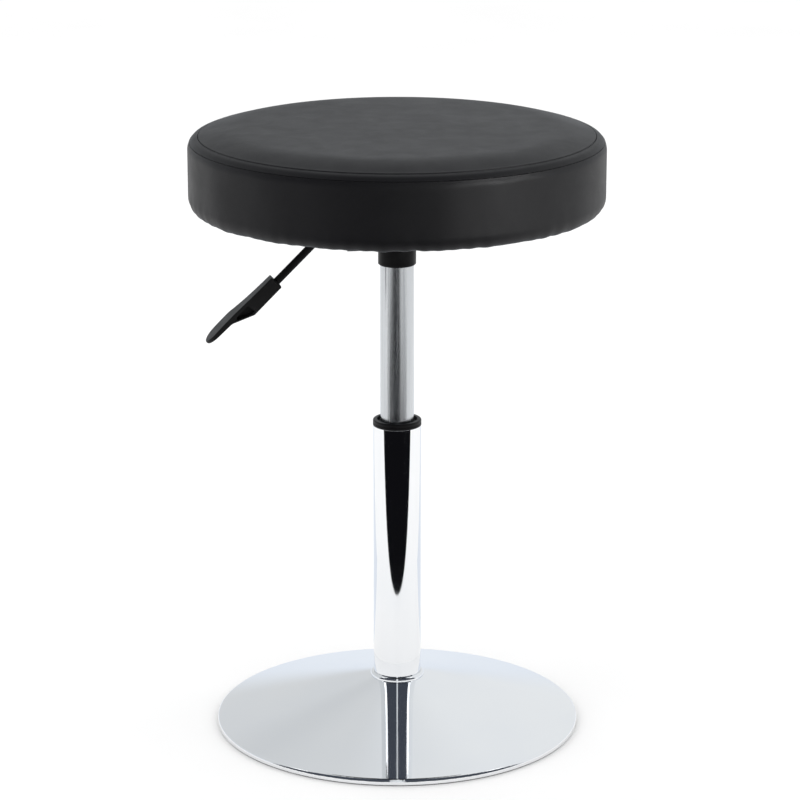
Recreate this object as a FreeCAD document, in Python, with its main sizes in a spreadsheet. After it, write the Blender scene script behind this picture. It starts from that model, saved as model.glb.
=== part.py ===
import FreeCAD, Part
import math
import os
from types import SimpleNamespace

import Sketcher

# A height-adjustable swivel stool: a chromed dish base, a column with a gas spring in it,
# a bracket with a release lever, and a round padded seat.
#
# Millimetres and degrees. +Z is up, the floor is z = 0, and the column's axis is x = y = 0.
# The seat is at its highest, and the lever points along -X.
DIMENSIONS = {
    # dish base
    "dish_radius": 192.5,
    "dish_wall": 1.5,
    "dish_shoulder": 6.6,
    "dish_crown": 57.3,
    "dish_bend": 3.2,
    "floor_gap": 1.2,
    "ring_inner_radius": 170.0,
    "plate_radius": 173.5,
    "plate_foot": 6.0,
    "plate_thick": 4.0,
    "plate_eye_radius": 20.0,
    "flange_radius": 57.0,
    "flange_thick": 5.0,
    "base_bolt_circle": 42.5,
    "base_bolt_radius": 4.0,
    "base_bolt_head_radius": 7.0,
    "base_bolt_head_depth": 4.2,
    "base_bolt_count": 4,
    # column
    "column_radius": 25.0,
    "column_wall": 1.5,
    "column_top": 327.0,
    "trim_radius": 28.6,
    "trim_top": 54.0,
    "bush_length": 90.0,
    "bush_cap": 6.4,
    "bush_cap_radius": 25.4,
    "bush_bore": 17.56,
    "bush_relief": 18.2,
    # thrust bearing and rod
    "cup_thick": 3.0,
    "washer_thick": 2.0,
    "washer_radius": 12.0,
    "ball_radius": 1.95,
    "ball_circle": 8.5,
    "ball_count": 10,
    "cage_thick": 2.0,
    "rod_radius": 5.0,
    "rod_end_radius": 4.0,
    "rod_foot": 5.5,
    "stop_height": 12.0,
    "stop_radius": 15.0,
    "piston_foot": 212.0,
    "piston_height": 12.0,
    # gas spring
    "tube_radius": 17.5,
    "tube_wall": 1.5,
    "tube_foot": 175.0,
    "tube_top": 536.0,
    "taper_foot": 509.0,
    "taper_drop": 0.8,
    "cylinder_radius": 14.0,
    "cylinder_wall": 1.0,
    "cylinder_foot": 183.0,
    "cylinder_top": 502.0,
    "slip": 0.05,
    "valve_head_radius": 4.0,
    "valve_stem_radius": 2.0,
    "valve_head_foot": 538.0,
    "valve_head_top": 543.6,
    # bracket
    "socket_radius": 19.7,
    "socket_foot": 499.0,
    "socket_top": 534.0,
    "web_foot": 519.0,
    "sheet_thick": 2.5,
    "channel_width": 46.0,
    "channel_length": 110.0,
    "plate_side": 180.0,
    "plate_skirt": 8.0,
    "bolt_square": 150.0,
    # lever
    "pivot_x": -32.0,
    "pivot_height": 540.0,
    "pivot_radius": 2.5,
    "lever_radius": 4.0,
    "lever_height": 548.0,
    "lever_bend_x": -62.5,
    "lever_bend_radius": 14.0,
    "lever_angle": 44.6,
    "lever_reach": 118.0,
    "grip_start": 88.5,
    "grip_length": 95.0,
    "grip_width": 26.0,
    # seat
    "seat_radius": 215.0,
    "seat_foot": 561.0,
    "seat_top": 638.0,
    "seat_crown": 1.5,
    "seat_shoulder": 20.0,
    "seat_corner": 13.0,
    "cover_wall": 1.0,
    "hem_radius": 168.0,
    "board_radius": 198.0,
    "board_foot": 562.0,
    "board_thick": 12.0,
    "tee_nut_barrel": 4.2,
    "tee_nut_flange": 1.6,
    "foam_gap": 0.2,
    "cloth_thick": 0.6,
    "cloth_radius": 183.0,
    "cloth_hole_radius": 4.0,
    "cloth_slope": 14.0,
    "staple_wire": 0.6,
    "staple_width": 10.0,
    "cover_staple_count": 36,
    "cloth_staple_count": 24,
}

UP = FreeCAD.Vector(0, 0, 1)


class Size:
    """A length known both as a number and as the spreadsheet expression that gives it."""

    def __init__(self, value, text=None):
        self.value = float(value)
        self.text = text or f"({self.value})"

    def joined(self, sign, other, value):
        return Size(value, f"({self.text} {sign} {other.text})")

    def __add__(self, other):
        other = sized(other)
        return self.joined("+", other, self.value + other.value)

    def __sub__(self, other):
        other = sized(other)
        return self.joined("-", other, self.value - other.value)

    def __mul__(self, other):
        other = sized(other)
        return self.joined("*", other, self.value * other.value)

    def __truediv__(self, other):
        other = sized(other)
        return self.joined("/", other, self.value / other.value)

    def __rsub__(self, other):
        return sized(other) - self

    def __neg__(self):
        return self * -1


def sized(length):
    return length if isinstance(length, Size) else Size(length)


def fill_sheet(doc):
    """Write the driving dimensions, one a row, each with its name as its alias."""
    sheet = doc.addObject("Spreadsheet::Sheet", "sizes")
    for row, (name, value) in enumerate(DIMENSIONS.items(), 1):
        sheet.set(f"A{row}", name)
        sheet.set(f"B{row}", str(value))
        sheet.setAlias(f"B{row}", name)
    doc.recompute()
    return SimpleNamespace(**{name: Size(value, f"sizes.{name}") for name, value in DIMENSIONS.items()})


doc = FreeCAD.newDocument("stool")
size = fill_sheet(doc)
subparts = []


# ---------------------------------------------------------------- building blocks


def bind(thing, path, length):
    thing.setExpression(path, sized(length).text)


def new_body(label, kept=True):
    body = doc.addObject("PartDesign::Body", label)
    body.Label = label
    if kept:
        subparts.append(body)
    return body


def origin_feature(body, role):
    return next(feature for feature in body.Origin.OriginFeatures if feature.Role == role)


def new_sketch(body, role, lift=None):
    """A sketch on one of the body's own origin planes, lifted off it along its normal."""
    sketch = body.newObject("Sketcher::SketchObject", "Sketch")
    sketch.AttachmentSupport = [(origin_feature(body, role), "")]
    sketch.MapMode = "FlatFace"
    if lift is not None:
        bind(sketch, "AttachmentOffset.Base.z", lift)
    return sketch


def constrain(sketch, kind, *targets, length):
    number = sketch.addConstraint(Sketcher.Constraint(kind, *targets, sized(length).value))
    bind(sketch, f"Constraints[{number}]", length)


def place_point(sketch, edge, end, corner):
    constrain(sketch, "DistanceX", -1, 1, edge, end, length=corner[0])
    constrain(sketch, "DistanceY", -1, 1, edge, end, length=corner[1])


def point(corner):
    return FreeCAD.Vector(sized(corner[0]).value, sized(corner[1]).value, 0)


def round_edge(start, finish, radius):
    """The short arc between two points. It turns left for a positive radius, right for a negative one."""
    half = (finish - start) * 0.5
    left = UP.cross(half).normalize()
    reach = math.sqrt(radius * radius - half.Length**2)
    centre = start + half + left * math.copysign(reach, radius)
    first, last = (start, finish) if radius > 0 else (finish, start)
    angles = [math.atan2(end.y - centre.y, end.x - centre.x) for end in (first, last)]
    return Part.ArcOfCircle(Part.Circle(centre, UP, abs(radius)), *angles)


def draw_outline(sketch, corners, arcs=None):
    """Draw a closed outline through the corners. arcs gives the radius of each edge that is round."""
    arcs = arcs or {}
    edges = []
    for number, corner in enumerate(corners):
        start, finish = point(corner), point(corners[(number + 1) % len(corners)])
        if number in arcs:
            radius = sized(arcs[number])
            edge = sketch.addGeometry(round_edge(start, finish, radius.value), False)
            constrain(sketch, "Radius", edge, length=radius if radius.value > 0 else -radius)
            edges.append((edge, 1, 2) if radius.value > 0 else (edge, 2, 1))
        else:
            edges.append((sketch.addGeometry(Part.LineSegment(start, finish), False), 1, 2))
    for number, (edge, first, last) in enumerate(edges):
        following = edges[(number + 1) % len(edges)]
        sketch.addConstraint(Sketcher.Constraint("Coincident", edge, last, following[0], following[1]))
        place_point(sketch, edge, first, corners[number])


def draw_circle(sketch, centre, radius):
    circle = Part.Circle(point(centre), UP, sized(radius).value)
    edge = sketch.addGeometry(circle, False)
    constrain(sketch, "Radius", edge, length=radius)
    place_point(sketch, edge, 3, centre)


def turn_about_z(body, corners, arcs=None):
    sketch = new_sketch(body, "XZ_Plane")
    draw_outline(sketch, corners, arcs)
    feature = body.newObject("PartDesign::Revolution", "Turn")
    feature.Profile = sketch
    feature.ReferenceAxis = (sketch, ["V_Axis"])
    feature.Angle = 360
    return feature


def turned(label, corners, arcs=None):
    """A body turned about Z from a closed outline of (radius, height) corners."""
    body = new_body(label)
    turn_about_z(body, corners, arcs)
    return body


def ring(label, inner, outer, foot, top):
    """A plain washer, tube or disc."""
    return turned(label, [(inner, foot), (outer, foot), (outer, top), (inner, top)])


def cut(body, sketch, depth=None, forward=False):
    """Pocket a sketch into the body and see that it removes something.

    It goes to a depth against the sketch's normal, or along it if forward is set. With no depth it
    goes right through the body, both ways.
    """
    doc.recompute()
    before = body.Shape.Volume
    pocket = body.newObject("PartDesign::Pocket", "Cut")
    pocket.Profile = sketch
    pocket.Reversed = forward
    if depth is None:
        pocket.Type = 1
        pocket.Midplane = True
    else:
        bind(pocket, "Length", depth)
    doc.recompute()
    if not pocket.Shape.Volume < before:
        raise ValueError(f"a pocket in {body.Label} cuts nothing")
    return pocket


def extrude(body, sketch, length, centred=False):
    pad = body.newObject("PartDesign::Pad", "Pad")
    pad.Profile = sketch
    bind(pad, "Length", length)
    pad.Midplane = centred
    return pad


def repeat_round(body, features, count):
    """Repeat features round Z."""
    pattern = body.newObject("PartDesign::PolarPattern", "Round")
    pattern.Originals = features
    pattern.Axis = (origin_feature(body, "Z_Axis"), [""])
    pattern.Angle = 360
    bind(pattern, "Occurrences", count)
    body.Tip = pattern
    return pattern


def drill(body, centre, radius, top, depth, count=1):
    """Drill downwards from a height, once or in a circle about Z."""
    sketch = new_sketch(body, "XY_Plane", top)
    draw_circle(sketch, centre, radius)
    hole = cut(body, sketch, depth)
    return repeat_round(body, [hole], count) if count != 1 else hole


def soften(body, radius, chosen):
    """Fillet the edges of the body that a test picks."""
    doc.recompute()
    base = body.Tip
    names = [f"Edge{number}" for number, edge in enumerate(base.Shape.Edges, 1) if chosen(edge)]
    if not names:
        raise ValueError(f"no edge of {body.Label} to round")
    fillet = body.newObject("PartDesign::Fillet", "Soften")
    fillet.Base = (base, names)
    bind(fillet, "Radius", radius)
    return fillet


def is_circle(edge, radius, height):
    """Whether an edge is a circle about Z of the given radius and height."""
    if not isinstance(edge.Curve, Part.Circle):
        return False
    return abs(edge.Curve.Radius - radius.value) < 0.01 and abs(edge.BoundBox.ZMin - height.value) < 0.01


def is_lengthwise(edge, height):
    """Whether an edge is a long line along X at the given height."""
    return edge.BoundBox.XLength > 100 and abs(edge.BoundBox.ZMin - height.value) < 0.01


def rounded_square(half, radius):
    """Corners and arcs of a square with round corners, centred on the origin."""
    flat = half - radius
    corners = [
        (-flat, -half),
        (flat, -half),
        (half, -flat),
        (half, flat),
        (flat, half),
        (-flat, half),
        (-half, flat),
        (-half, -flat),
    ]
    return corners, {1: radius, 3: radius, 5: radius, 7: radius}


def socket_head_bolts(label, circle, count, shank, head, foot, head_top, shank_top, key):
    """Bolts in a circle, heads down, each with a hexagon socket in its head."""
    body = new_body(label)
    sketch = new_sketch(body, "XZ_Plane")
    rim = (head_top - foot) * 0.45
    draw_outline(
        sketch,
        [
            (circle, foot),
            (circle + head * 0.62, foot),
            (circle + head, foot + rim),
            (circle + head, head_top),
            (circle + shank, head_top),
            (circle + shank, shank_top - 0.8),
            (circle + shank - 0.8, shank_top),
            (circle, shank_top),
        ],
    )
    axis = sketch.addGeometry(Part.LineSegment(point((circle, 0)), point((circle, 100))), True)
    place_point(sketch, axis, 1, (circle, 0))
    place_point(sketch, axis, 2, (circle, 100))
    turn = body.newObject("PartDesign::Revolution", "Turn")
    turn.Profile = sketch
    turn.ReferenceAxis = (sketch, ["Axis0"])
    turn.Angle = 360
    socket = new_sketch(body, "XY_Plane", foot)
    corners = [math.radians(60 * side) for side in range(6)]
    draw_outline(socket, [(circle + key * math.cos(corner), key * math.sin(corner)) for corner in corners])
    hollow = cut(body, socket, (head_top - foot) * 0.6, forward=True)
    repeat_round(body, [turn, hollow], count)
    return body


def swing(body, axis, angle, base):
    """Give a body its place: turned about an axis, then moved."""
    body.Placement = FreeCAD.Placement(FreeCAD.Vector(), FreeCAD.Rotation(axis, angle))
    for name, length in zip("xyz", base):
        bind(body, f"Placement.Base.{name}", length)


# ---------------------------------------------------------------- dish base and column


def dish_height(radius):
    """Height of the dish's outer cone at a radius."""
    slope = (size.dish_crown - size.dish_shoulder) / size.dish_radius
    return size.dish_crown - slope * radius


def make_base():
    wall = size.dish_wall
    eye = size.column_radius + 0.3
    lean = wall * 1.03
    body = turned(
        "base_dish",
        [
            (eye, dish_height(eye) - lean),
            (eye, dish_height(eye)),
            (size.dish_radius, dish_height(size.dish_radius)),
            (size.dish_radius, size.floor_gap),
            (size.dish_radius - wall, size.floor_gap),
            (size.dish_radius - wall, dish_height(size.dish_radius - wall) - lean),
        ],
    )
    corner = size.dish_radius
    soften(body, size.dish_bend, lambda edge: is_circle(edge, corner, dish_height(corner)))
    inner = size.dish_radius - wall
    soften(body, size.dish_bend - wall, lambda edge: is_circle(edge, inner, dish_height(inner) - lean))

    plate_top = size.plate_foot + size.plate_thick
    turned(
        "floor_ring",
        [
            (size.ring_inner_radius, 0),
            (size.dish_radius - 1.2, 0),
            (size.dish_radius - 0.6, size.floor_gap * 0.5),
            (size.dish_radius - 0.6, size.floor_gap),
            (size.dish_radius - wall - 0.1, size.floor_gap),
            (size.dish_radius - wall - 0.1, size.plate_foot - 1.5),
            (size.dish_radius - wall - 4, size.plate_foot),
            (size.ring_inner_radius, size.plate_foot),
        ],
    )
    plate = ring("base_plate", size.plate_eye_radius, size.plate_radius, size.plate_foot, plate_top)
    bolt_hole = size.base_bolt_radius + 0.2
    drill(plate, (size.base_bolt_circle, 0), bolt_hole, plate_top, size.plate_thick, size.base_bolt_count)

    flange_top = plate_top + size.flange_thick
    flange = ring("column_flange", size.column_radius, size.flange_radius, plate_top, flange_top)
    bolt_hole = size.base_bolt_radius + 0.05
    drill(flange, (size.base_bolt_circle, 0), bolt_hole, flange_top, size.flange_thick, size.base_bolt_count)
    soften(flange, 1, lambda edge: is_circle(edge, size.flange_radius, flange_top))

    socket_head_bolts(
        "base_bolts",
        size.base_bolt_circle,
        size.base_bolt_count,
        size.base_bolt_radius,
        size.base_bolt_head_radius,
        size.plate_foot - size.base_bolt_head_depth,
        size.plate_foot,
        flange_top + 2,
        2.9,
    )
    return plate_top


def make_column(foot):
    inner = size.column_radius - size.column_wall
    tube = ring("column_tube", inner, size.column_radius, foot, size.column_top)
    soften(tube, 0.5, lambda edge: is_circle(edge, size.column_radius, size.column_top))

    bore = size.column_radius + 0.05
    turned(
        "trim_ring",
        [
            (bore, dish_height(bore) + 0.02),
            (size.trim_radius, dish_height(size.trim_radius) + 0.02),
            (size.trim_radius, size.trim_top - 2.6),
            (size.trim_radius - 2.2, size.trim_top),
            (bore, size.trim_top),
        ],
        {2: 3.4},
    )

    cap_top = size.column_top + size.bush_cap
    sleeve_foot = size.column_top - size.bush_length
    sleeve = inner - 0.05
    turned(
        "guide_bush",
        [
            (size.bush_bore, sleeve_foot),
            (sleeve - 1, sleeve_foot),
            (sleeve, sleeve_foot + 2),
            (sleeve, size.column_top),
            (size.bush_cap_radius, size.column_top),
            (size.bush_cap_radius, size.column_top + 1.9),
            (size.bush_cap_radius - 0.7, size.column_top + 2.2),
            (size.bush_cap_radius - 0.7, size.column_top + 3.0),
            (size.bush_cap_radius, size.column_top + 3.3),
            (size.bush_cap_radius, cap_top - 1.4),
            (size.bush_cap_radius - 1.4, cap_top),
            (size.tube_radius + 3.6, cap_top),
            (size.tube_radius + 2.6, cap_top - 3.4),
            (size.bush_bore, cap_top - 4.2),
            (size.bush_bore, size.column_top - 25),
            (size.bush_relief, size.column_top - 27),
            (size.bush_relief, sleeve_foot + 27),
            (size.bush_bore, sleeve_foot + 25),
        ],
        {9: 1.5},
    )
    cup_top = foot + size.cup_thick
    ring("column_end_cup", size.rod_end_radius + 0.1, inner - 0.05, foot, cup_top)
    return cup_top


# ---------------------------------------------------------------- thrust bearing and gas spring rod


def make_bearing(foot):
    """The races, cage and balls that the rod turns on. Returns the height of the rod's shoulder."""
    race_bore = size.rod_end_radius + 0.1
    lower_top = foot + size.washer_thick
    upper_foot = lower_top + size.ball_radius * 2 + 0.1
    upper_top = upper_foot + size.washer_thick
    ring("lower_bearing_washer", race_bore, size.washer_radius, foot, lower_top)
    ring("upper_bearing_washer", size.rod_end_radius, size.washer_radius, upper_foot, upper_top)

    centre = (lower_top + upper_foot) * 0.5
    cage_top = centre + size.cage_thick * 0.5
    cage = ring("ball_cage", size.ball_circle - 2.7, size.ball_circle + 2.7, centre - size.cage_thick * 0.5, cage_top)
    drill(cage, (size.ball_circle, 0), size.ball_radius + 0.1, cage_top, size.cage_thick, size.ball_count)

    balls = new_body("bearing_balls")
    ball = balls.newObject("PartDesign::AdditiveSphere", "Ball")
    bind(ball, "Radius", size.ball_radius)
    bind(ball, "AttachmentOffset.Base.x", size.ball_circle)
    bind(ball, "AttachmentOffset.Base.z", centre)
    ball.AttachmentSupport = [(origin_feature(balls, "XY_Plane"), "")]
    ball.MapMode = "FlatFace"
    repeat_round(balls, [ball], size.ball_count)
    return upper_top


def make_rod(shoulder, cup_foot):
    piston_top = size.piston_foot + size.piston_height
    nut_top = piston_top + 4
    clip_foot = size.rod_foot + 1.8
    clip_top = clip_foot + 1
    groove = size.rod_end_radius - 0.8
    turned(
        "piston_rod",
        [
            (0, size.rod_foot),
            (size.rod_end_radius - 0.5, size.rod_foot),
            (size.rod_end_radius, size.rod_foot + 0.5),
            (size.rod_end_radius, clip_foot),
            (groove, clip_foot),
            (groove, clip_top),
            (size.rod_end_radius, clip_top),
            (size.rod_end_radius, shoulder),
            (size.rod_radius, shoulder),
            (size.rod_radius, size.piston_foot),
            (size.rod_end_radius, size.piston_foot),
            (size.rod_end_radius, nut_top + 1),
            (0, nut_top + 1),
        ],
    )
    ring("clip_washer", size.rod_end_radius + 0.05, size.rod_end_radius + 4.5, clip_top + 0.05, cup_foot - 0.1)
    clip = ring("retaining_clip", groove + 0.02, size.rod_end_radius + 3, clip_foot + 0.02, clip_top - 0.02)
    open_clip(clip, clip_top, groove, size.rod_end_radius + 3)

    stop_top = shoulder + size.stop_height
    turned(
        "bump_stop",
        [
            (size.rod_radius, shoulder),
            (size.stop_radius, shoulder),
            (size.stop_radius, stop_top - 4),
            (size.stop_radius - 4, stop_top),
            (size.rod_radius, stop_top),
        ],
        {2: 4},
    )

    bore = size.cylinder_radius - size.cylinder_wall
    piston_radius = bore - 0.1
    seal_foot = size.piston_foot + size.piston_height * 0.5 - 1.5
    seal_groove = piston_radius - 1.9
    turned(
        "piston",
        [
            (size.rod_end_radius, size.piston_foot),
            (piston_radius, size.piston_foot),
            (piston_radius, seal_foot),
            (seal_groove, seal_foot),
            (seal_groove, seal_foot + 3),
            (piston_radius, seal_foot + 3),
            (piston_radius, piston_top),
            (size.rod_end_radius, piston_top),
        ],
    )
    ring("piston_seal", seal_groove, bore - 0.03, seal_foot + 0.05, seal_foot + 2.95)
    nut = new_body("piston_nut")
    flats = new_sketch(nut, "XY_Plane", piston_top)
    corners = [math.radians(60 * side) for side in range(6)]
    across = 7.5
    draw_outline(flats, [(across * math.cos(corner), across * math.sin(corner)) for corner in corners])
    extrude(nut, flats, nut_top - piston_top)
    drill(nut, (0, 0), size.rod_end_radius, nut_top, nut_top - piston_top)


def open_clip(clip, top, inner, outer):
    """Cut the mouth of an open retaining ring."""
    mouth = new_sketch(clip, "XY_Plane", top)
    half = inner * 0.8
    draw_outline(mouth, [(0, -half), (outer + 1, -half), (outer + 1, half), (0, half)])
    cut(clip, mouth, 2)


def make_gas_spring():
    inner = size.tube_radius - size.tube_wall
    narrow = size.tube_radius - size.taper_drop
    turned(
        "lift_tube",
        [
            (inner, size.tube_foot),
            (size.tube_radius - 0.8, size.tube_foot),
            (size.tube_radius, size.tube_foot + 0.8),
            (size.tube_radius, size.taper_foot),
            (narrow, size.tube_top),
            (narrow - size.tube_wall, size.tube_top),
            (inner, size.taper_foot),
        ],
    )
    bore = size.cylinder_radius - size.cylinder_wall
    ring("gas_cylinder", bore, size.cylinder_radius, size.cylinder_foot, size.cylinder_top)

    rod_clear = size.rod_radius + 0.3
    cap_foot = size.tube_foot + 2
    turned(
        "end_cap",
        [
            (rod_clear, cap_foot),
            (inner - 1, cap_foot),
            (inner - 0.02, cap_foot + 1),
            (inner - 0.02, size.cylinder_foot),
            (rod_clear, size.cylinder_foot),
        ],
    )
    fit = bore - 0.02
    guide_top = size.cylinder_foot + 12
    seal_top = guide_top + 6
    ring("rod_guide", size.rod_radius + 0.04, fit, size.cylinder_foot, guide_top)
    turned(
        "rod_seal",
        [
            (size.rod_radius + 0.02, guide_top),
            (fit, guide_top),
            (fit, seal_top),
            (fit - 2, seal_top),
            (fit - 3, seal_top - 3),
            (size.rod_radius + 2, seal_top - 3),
            (size.rod_radius + 1, seal_top),
            (size.rod_radius + 0.02, seal_top),
        ],
    )
    ring("seal_retainer", rod_clear, fit, seal_top, seal_top + 3)
    make_valve(fit, inner)


def make_valve(fit, inner):
    spigot_foot = size.cylinder_top - 16
    groove_foot = size.cylinder_top - 12
    groove_pitch = Size(6)
    groove_depth = Size(1.6)
    groove_width = Size(2)
    stem_bore = size.valve_stem_radius + size.slip
    flange_top = size.cylinder_top + 5
    grooves = []
    for number in range(2):
        foot = groove_foot + groove_pitch * number
        grooves += [
            (fit, foot),
            (fit - groove_depth, foot),
            (fit - groove_depth, foot + groove_width),
            (fit, foot + groove_width),
        ]
    turned(
        "valve_body",
        [(stem_bore, spigot_foot), (fit, spigot_foot)]
        + grooves
        + [
            (fit, size.cylinder_top),
            (inner - 0.05, size.cylinder_top),
            (inner - 0.05, flange_top),
            (inner - 4, flange_top),
            (inner - 4, size.taper_foot + 18),
            (stem_bore, size.taper_foot + 18),
        ],
    )
    seals = new_body("valve_seals")
    seal = turn_about_z(
        seals,
        [
            (fit - groove_depth, groove_foot + 0.02),
            (fit, groove_foot + 0.02),
            (fit, groove_foot + groove_width - 0.02),
            (fit - groove_depth, groove_foot + groove_width - 0.02),
        ],
    )
    pair = seals.newObject("PartDesign::LinearPattern", "Pair")
    pair.Originals = [seal]
    pair.Direction = (origin_feature(seals, "Z_Axis"), [""])
    bind(pair, "Length", groove_pitch)
    pair.Occurrences = 2
    seals.Tip = pair

    turned(
        "valve_pin",
        [
            (0, spigot_foot - 5),
            (size.valve_stem_radius, spigot_foot - 5),
            (size.valve_stem_radius, size.valve_head_foot),
            (size.valve_head_radius, size.valve_head_foot),
            (size.valve_head_radius, size.valve_head_top - 1.4),
            (size.valve_head_radius - 2.8, size.valve_head_top),
            (0, size.valve_head_top),
        ],
    )


# ---------------------------------------------------------------- bracket under the seat


def make_bracket():
    """The taper socket, the channel welded to it and the tray that the seat is bolted to."""
    taper = size.taper_drop / (size.tube_top - size.taper_foot)
    bore = size.tube_radius + size.slip
    bead = Size(2.5)
    turned(
        "taper_socket",
        [
            (bore, size.socket_foot),
            (size.socket_radius - 1.2, size.socket_foot),
            (size.socket_radius, size.socket_foot + 1.2),
            (size.socket_radius, size.web_foot - bead),
            (size.socket_radius + bead, size.web_foot),
            (size.socket_radius, size.web_foot),
            (size.socket_radius, size.socket_top),
            (bore - taper * (size.socket_top - size.taper_foot), size.socket_top),
            (bore, size.taper_foot),
        ],
        {3: 3.2},
    )

    sheet = size.sheet_thick
    tray_foot = size.board_foot - size.cloth_thick - sheet
    half = size.channel_width * 0.5
    channel = new_body("bracket_channel")
    section = new_sketch(channel, "YZ_Plane")
    draw_outline(
        section,
        [
            (-half, size.web_foot),
            (half, size.web_foot),
            (half, tray_foot),
            (half - sheet, tray_foot),
            (half - sheet, size.web_foot + sheet),
            (sheet - half, size.web_foot + sheet),
            (sheet - half, tray_foot),
            (-half, tray_foot),
        ],
    )
    extrude(channel, section, size.channel_length, centred=True)
    soften(channel, 3.5, lambda edge: is_lengthwise(edge, size.web_foot))
    soften(channel, 1, lambda edge: is_lengthwise(edge, size.web_foot + sheet))
    drill(channel, (0, 0), size.socket_radius + size.slip, size.web_foot + sheet, sheet)
    pin_hole = new_sketch(channel, "XZ_Plane")
    draw_circle(pin_hole, (size.pivot_x, size.pivot_height), size.pivot_radius + 0.02)
    cut(channel, pin_hole)

    tray = new_body("seat_plate")
    side = size.plate_side * 0.5
    bend = Size(14)
    blank = new_sketch(tray, "XY_Plane", tray_foot - size.plate_skirt)
    draw_outline(blank, *rounded_square(side, bend))
    extrude(tray, blank, size.plate_skirt + sheet)
    inside = new_sketch(tray, "XY_Plane", tray_foot)
    draw_outline(inside, *rounded_square(side - sheet, bend - sheet))
    cut(tray, inside, size.plate_skirt)
    bolt = size.bolt_square * 0.5
    tray_top = tray_foot + sheet
    drill(tray, (bolt, bolt), 3.3, tray_top, sheet, 4)
    drill(tray, (0, 0), 12, tray_top, sheet)
    slot = new_sketch(tray, "XY_Plane", tray_top)
    slot_corners = [(30, -4), (66, -4), (70, 0), (66, 4), (30, 4), (26, 0)]
    draw_outline(slot, slot_corners, {1: 4, 2: 4, 4: 4, 5: 4})
    repeat_round(tray, [cut(tray, slot, sheet)], 4)
    return tray_foot


def make_lever():
    half = size.channel_width * 0.5
    pin = turned(
        "lever_pivot_pin",
        [
            (0, -half - 2.2),
            (4, -half - 2.2),
            (4, -half - 0.1),
            (size.pivot_radius, -half - 0.1),
            (size.pivot_radius, half + 0.3),
            (size.pivot_radius - 0.6, half + 0.3),
            (size.pivot_radius - 0.6, half + 1.1),
            (size.pivot_radius, half + 1.1),
            (size.pivot_radius, half + 2.5),
            (0, half + 2.5),
        ],
    )
    clip = ring("pivot_clip", size.pivot_radius - 0.58, 5, half + 0.32, half + 1.08)
    open_clip(clip, half + 1.1, size.pivot_radius - 0.6, Size(5))
    across = FreeCAD.Vector(1, 0, 0)
    for piece in (pin, clip):
        swing(piece, across, -90, (size.pivot_x, 0, size.pivot_height))

    block = new_body("pivot_block")
    side_view = new_sketch(block, "XZ_Plane")
    left, right = size.pivot_x - 8, size.pivot_x + 8
    foot, top = size.pivot_height - 5, size.lever_height + 6
    draw_outline(side_view, [(left, foot), (right, foot), (right, top), (left, top)])
    extrude(block, side_view, size.channel_width - size.sheet_thick * 2 - 1, centred=True)
    soften(block, 1.5, lambda edge: edge.BoundBox.YLength > 10)
    pin_bore = new_sketch(block, "XZ_Plane")
    draw_circle(pin_bore, (size.pivot_x, size.pivot_height), size.pivot_radius + size.slip)
    cut(block, pin_bore)
    rod_bore = new_sketch(block, "YZ_Plane")
    draw_circle(rod_bore, (0, size.lever_height), size.lever_radius)
    cut(block, rod_bore)

    angle = math.radians(DIMENSIONS["lever_angle"])
    cosine, sine = math.cos(angle), math.sin(angle)
    tangent = size.lever_bend_radius * math.tan(angle / 2)
    corner = size.lever_bend_x
    inner_end = Size(6)
    rod = new_body("lever_rod")
    path = new_sketch(rod, "XZ_Plane")
    route = [
        (inner_end, size.lever_height),
        (corner + tangent, size.lever_height),
        (corner - tangent * cosine, size.lever_height - tangent * sine),
        (corner - size.lever_reach * cosine, size.lever_height - size.lever_reach * sine),
    ]
    spots = [point(spot) for spot in route]
    path.addGeometry(Part.LineSegment(spots[0], spots[1]), False)
    path.addGeometry(round_edge(spots[1], spots[2], size.lever_bend_radius.value), False)
    path.addGeometry(Part.LineSegment(spots[2], spots[3]), False)
    path.addConstraint(Sketcher.Constraint("Coincident", 0, 2, 1, 1))
    path.addConstraint(Sketcher.Constraint("Coincident", 1, 2, 2, 1))
    for line, end, spot in ((0, 1, route[0]), (0, 2, route[1]), (1, 2, route[2]), (2, 2, route[3])):
        place_point(path, line, end, spot)
    constrain(path, "Radius", 1, length=size.lever_bend_radius)
    section = new_sketch(rod, "YZ_Plane", inner_end)
    draw_circle(section, (0, size.lever_height), size.lever_radius)
    bar = rod.newObject("PartDesign::AdditivePipe", "Bar")
    bar.Profile = section
    bar.Spine = (path, [])
    soften(rod, 0.8, lambda edge: isinstance(edge.Curve, Part.Circle) and edge.BoundBox.XMin > 5)
    make_grip(cosine, sine)


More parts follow.
